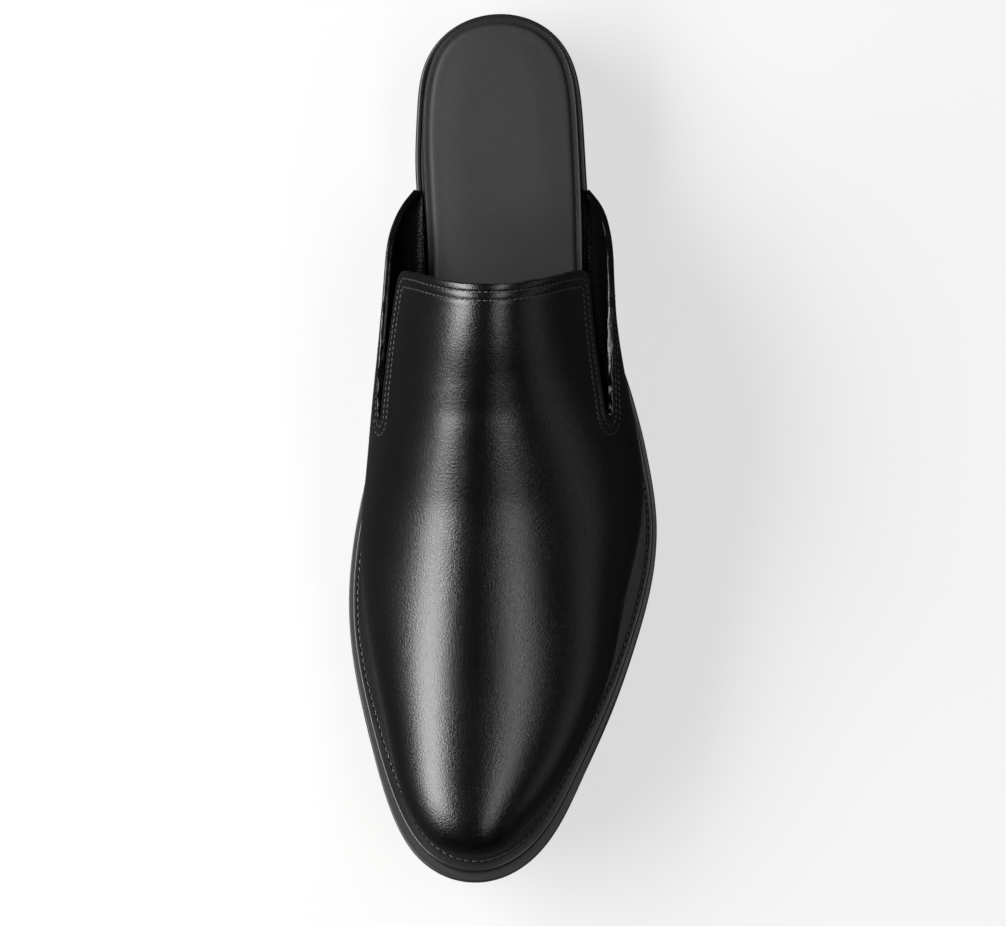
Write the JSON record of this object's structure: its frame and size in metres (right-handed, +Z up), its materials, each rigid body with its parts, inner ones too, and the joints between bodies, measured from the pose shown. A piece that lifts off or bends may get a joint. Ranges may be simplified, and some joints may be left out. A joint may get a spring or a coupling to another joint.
{
  "type": "mule shoe",
  "caption": "Backless mule for the left foot: leather vamp with raised tab and slit sides, welt, arched outsole with metal toe strip, low stacked block heel",
  "frame": {"origin": "on the ground, under the middle of the shoe's bounding box", "axes": "+Z up, toe towards -Y, heel towards +Y, outer side of the left foot towards +X"},
  "size_m": [0.0952, 0.268, 0.0942],
  "materials": {
    "upper_leather": "smooth glossy black calf, fine grain",
    "sock_leather": "matte black lining leather",
    "wrapped_leather": "satin black leather wrapped over the edge",
    "welt_leather": "satin black, edge inked",
    "sole_edge": "satin black",
    "brushed_gold": "brushed gold tone",
    "stacked_heel": "satin black stacked lifts",
    "heel_rubber": "matte black rubber"
  },
  "bodies": {
    "root": {"upper": "upper_leather", "sock": "sock_leather", "insole": "wrapped_leather", "welt": "welt_leather", "outsole": "sole_edge", "toe_plate": "brushed_gold", "heel_lift_1": "stacked_heel", "heel_lift_2": "stacked_heel", "heel_lift_3": "stacked_heel", "heel_top_piece": "heel_rubber"}
  },
  "joints": []
}
